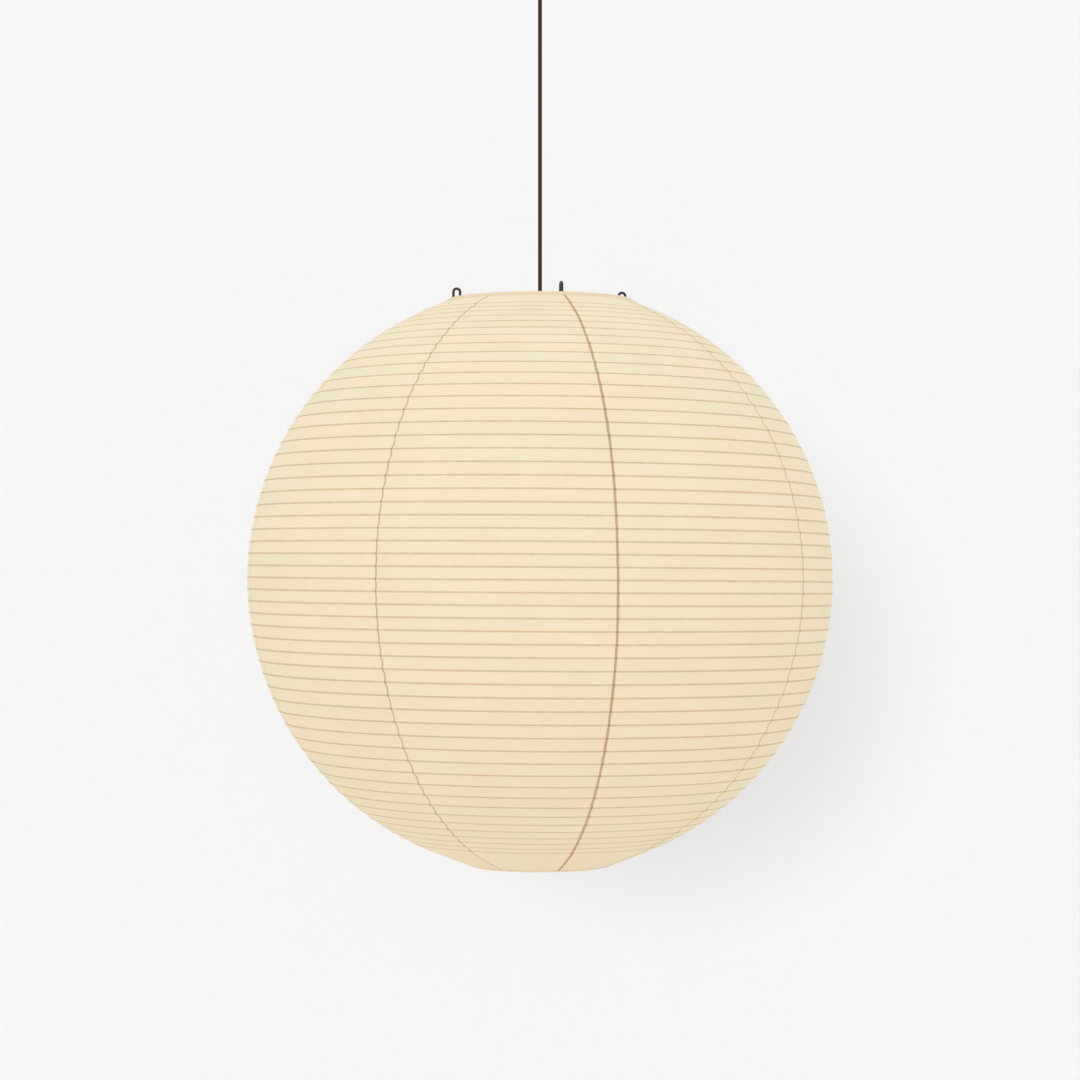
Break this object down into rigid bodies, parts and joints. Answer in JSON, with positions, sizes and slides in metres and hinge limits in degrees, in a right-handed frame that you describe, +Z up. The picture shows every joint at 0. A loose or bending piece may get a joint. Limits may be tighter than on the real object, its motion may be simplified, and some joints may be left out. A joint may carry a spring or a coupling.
{
  "type": "paper pendant lantern",
  "caption": "Globe paper pendant lantern with washi gores on a spiral bamboo strip, held open by crossed wire frames and hung by its cord.",
  "frame": {"origin": "middle of the ceiling plate's top face, in the ceiling plane", "axes": "+Z up into the ceiling; the wire frames' arms and every second paper seam lie on X and Y; the lantern hangs below"},
  "size_m": [0.75, 0.75, 1.1828],
  "materials": {
    "paper": "matte",
    "hem_paper": "matte",
    "bamboo": "satin",
    "bronze_wire": "satin",
    "hoop_wire": "satin",
    "cord_textile": "matte",
    "lampholder_plastic": "satin",
    "ceramic": "satin",
    "brass": "satin",
    "zinc_steel": "satin",
    "bulb_shell": "satin",
    "bulb_insulator": "gloss",
    "opal_glass": "satin",
    "bulb_white": "satin",
    "led_aluminium": "satin",
    "canopy_paint": "satin",
    "terminal_plastic": "matte",
    "core_insulation": "satin"
  },
  "bodies": {
    "ceiling_body": {"ceiling_plate": "zinc_steel", "terminal_block": "terminal_plastic", "terminal_screws": "zinc_steel", "core_wires": "core_insulation", "canopy_cup": "canopy_paint", "canopy_screws": "canopy_paint", "cord_gland": "canopy_paint", "gland_nut": "zinc_steel", "grub_screw": "zinc_steel", "cord_tail": "cord_textile"},
    "cord_body": {"cord": "cord_textile"},
    "lampholder_body": {"cord_grip": "lampholder_plastic", "lampholder_cap": "lampholder_plastic", "lampholder_skirt": "lampholder_plastic", "socket_insert": "ceramic", "thread_shell": "brass", "centre_contact": "brass", "socket_screws": "zinc_steel", "hub_ring_a": "bronze_wire", "top_arm_front": "bronze_wire", "top_arm_back": "bronze_wire", "leg_wire_front": "bronze_wire", "leg_wire_back": "bronze_wire"},
    "cross_frame_body": {"hub_ring_b": "bronze_wire", "top_arm_right": "bronze_wire", "top_arm_left": "bronze_wire", "leg_wire_right": "bronze_wire", "leg_wire_left": "bronze_wire"},
    "shade_ring_body": {"shade_ring": "lampholder_plastic"},
    "bulb_body": {"bulb_cap": "bulb_shell", "bulb_insulator": "bulb_insulator", "bulb_contact": "brass", "bulb_collar": "bulb_white", "bulb_glass": "opal_glass", "led_board": "led_aluminium"},
    "shade_body": {"paper_gore_1": "paper", "paper_gore_2": "paper", "paper_gore_3": "paper", "paper_gore_4": "paper", "paper_gore_5": "paper", "paper_gore_6": "paper", "paper_gore_7": "paper", "paper_gore_8": "paper", "bamboo_rib": "bamboo", "top_hoop": "hoop_wire", "top_hem": "hem_paper"},
    "lower_mouth_body": {"bottom_hoop": "hoop_wire", "bottom_hem": "hem_paper"}
  },
  "joints": [
    {"name": "lantern_swing", "type": "hinge", "parent": "ceiling_body", "child": "cord_body", "pos_m": [0, 0, -0.055], "axis": [0, 1, 0], "range_deg": [-12, 12]},
    {"name": "lantern_turn", "type": "hinge", "parent": "cord_body", "child": "lampholder_body", "pos_m": [0, 0, -0.459], "axis": [0, 0, 1], "range_deg": [-180, 180]},
    {"name": "frame_fold", "type": "hinge", "parent": "lampholder_body", "child": "cross_frame_body", "pos_m": [0, 0, -0.479], "axis": [0, 0, 1], "range_deg": [-84, 0]},
    {"name": "shade_ring_turn", "type": "hinge", "parent": "lampholder_body", "child": "shade_ring_body", "pos_m": [0, 0, -0.487], "axis": [0, 0, 1], "range_deg": [0, 360]},
    {"name": "bulb_unscrew", "type": "slide", "parent": "lampholder_body", "child": "bulb_body", "axis": [0, 0, -1], "range_m": [0, 0.024]},
    {"name": "shade_turn", "type": "hinge", "parent": "lampholder_body", "child": "shade_body", "pos_m": [0, 0, -0.4585], "axis": [0, 0, 1], "range_deg": [-45, 45]},
    {"name": "shade_collapse", "type": "slide", "parent": "shade_body", "child": "lower_mouth_body", "axis": [0, 0, 1], "range_m": [0, 0.66], "deforming": ["paper_gore_1", "paper_gore_2", "paper_gore_3", "paper_gore_4", "paper_gore_5", "paper_gore_6", "paper_gore_7", "paper_gore_8", "bamboo_rib"]}
  ]
}
